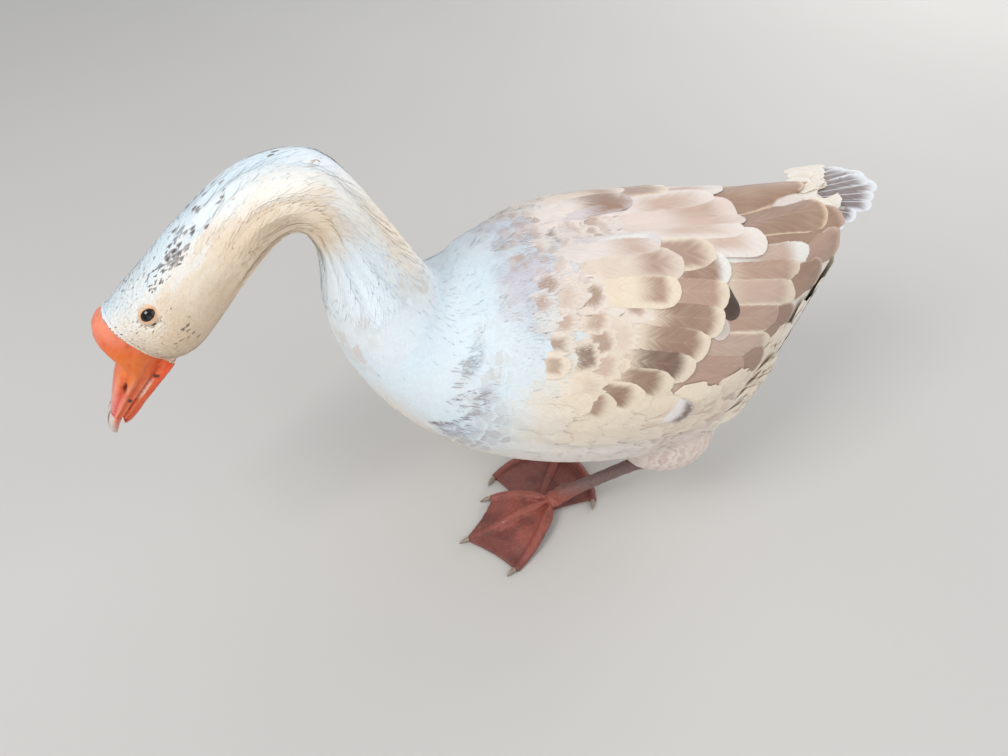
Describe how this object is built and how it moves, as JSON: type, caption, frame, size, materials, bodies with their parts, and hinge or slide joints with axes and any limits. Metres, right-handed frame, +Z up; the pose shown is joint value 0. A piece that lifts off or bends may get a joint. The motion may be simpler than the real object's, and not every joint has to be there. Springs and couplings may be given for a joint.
{
  "type": "domestic goose",
  "caption": "Life-size standing goose, neck arched forward and bill near the ground, with folded wings, fanned tail, webbed feet and a knobbed bill.",
  "frame": {"origin": "on the ground below the middle of the whole goose's bounding box", "axes": "-X is the way the goose faces, -Y is its left side, +Z is up"},
  "size_m": [0.5862, 0.2102, 0.3675],
  "materials": {
    "feathers": "matt white and cream contour feathers",
    "mottled_feathers": "beige-brown flight, covert and tail feathers with pale edges",
    "bill": "satin orange horn and skin, pinker towards the tip",
    "nail": "pale horn with a dark streak",
    "eye": "wet, nearly black",
    "foot": "dull dusky pink-orange scaly skin",
    "claw": "pale horn"
  },
  "bodies": {
    "root": {"trunk": "feathers", "neck_base": "feathers", "neck_rise": "feathers", "neck_arch": "feathers", "head": "feathers", "eye_left": "eye", "eye_right": "eye", "bill_upper": "bill", "bill_lower": "bill", "bill_nail": "nail", "wing_left": "mottled_feathers", "wing_right": "mottled_feathers", "tail": "mottled_feathers", "thigh_left": "feathers", "thigh_right": "feathers", "shank_left": "foot", "shank_right": "foot", "foot_left": "foot", "foot_right": "foot", "claw_left_inner": "claw", "claw_left_middle": "claw", "claw_left_outer": "claw", "claw_right_inner": "claw", "claw_right_middle": "claw", "claw_right_outer": "claw"}
  },
  "joints": []
}
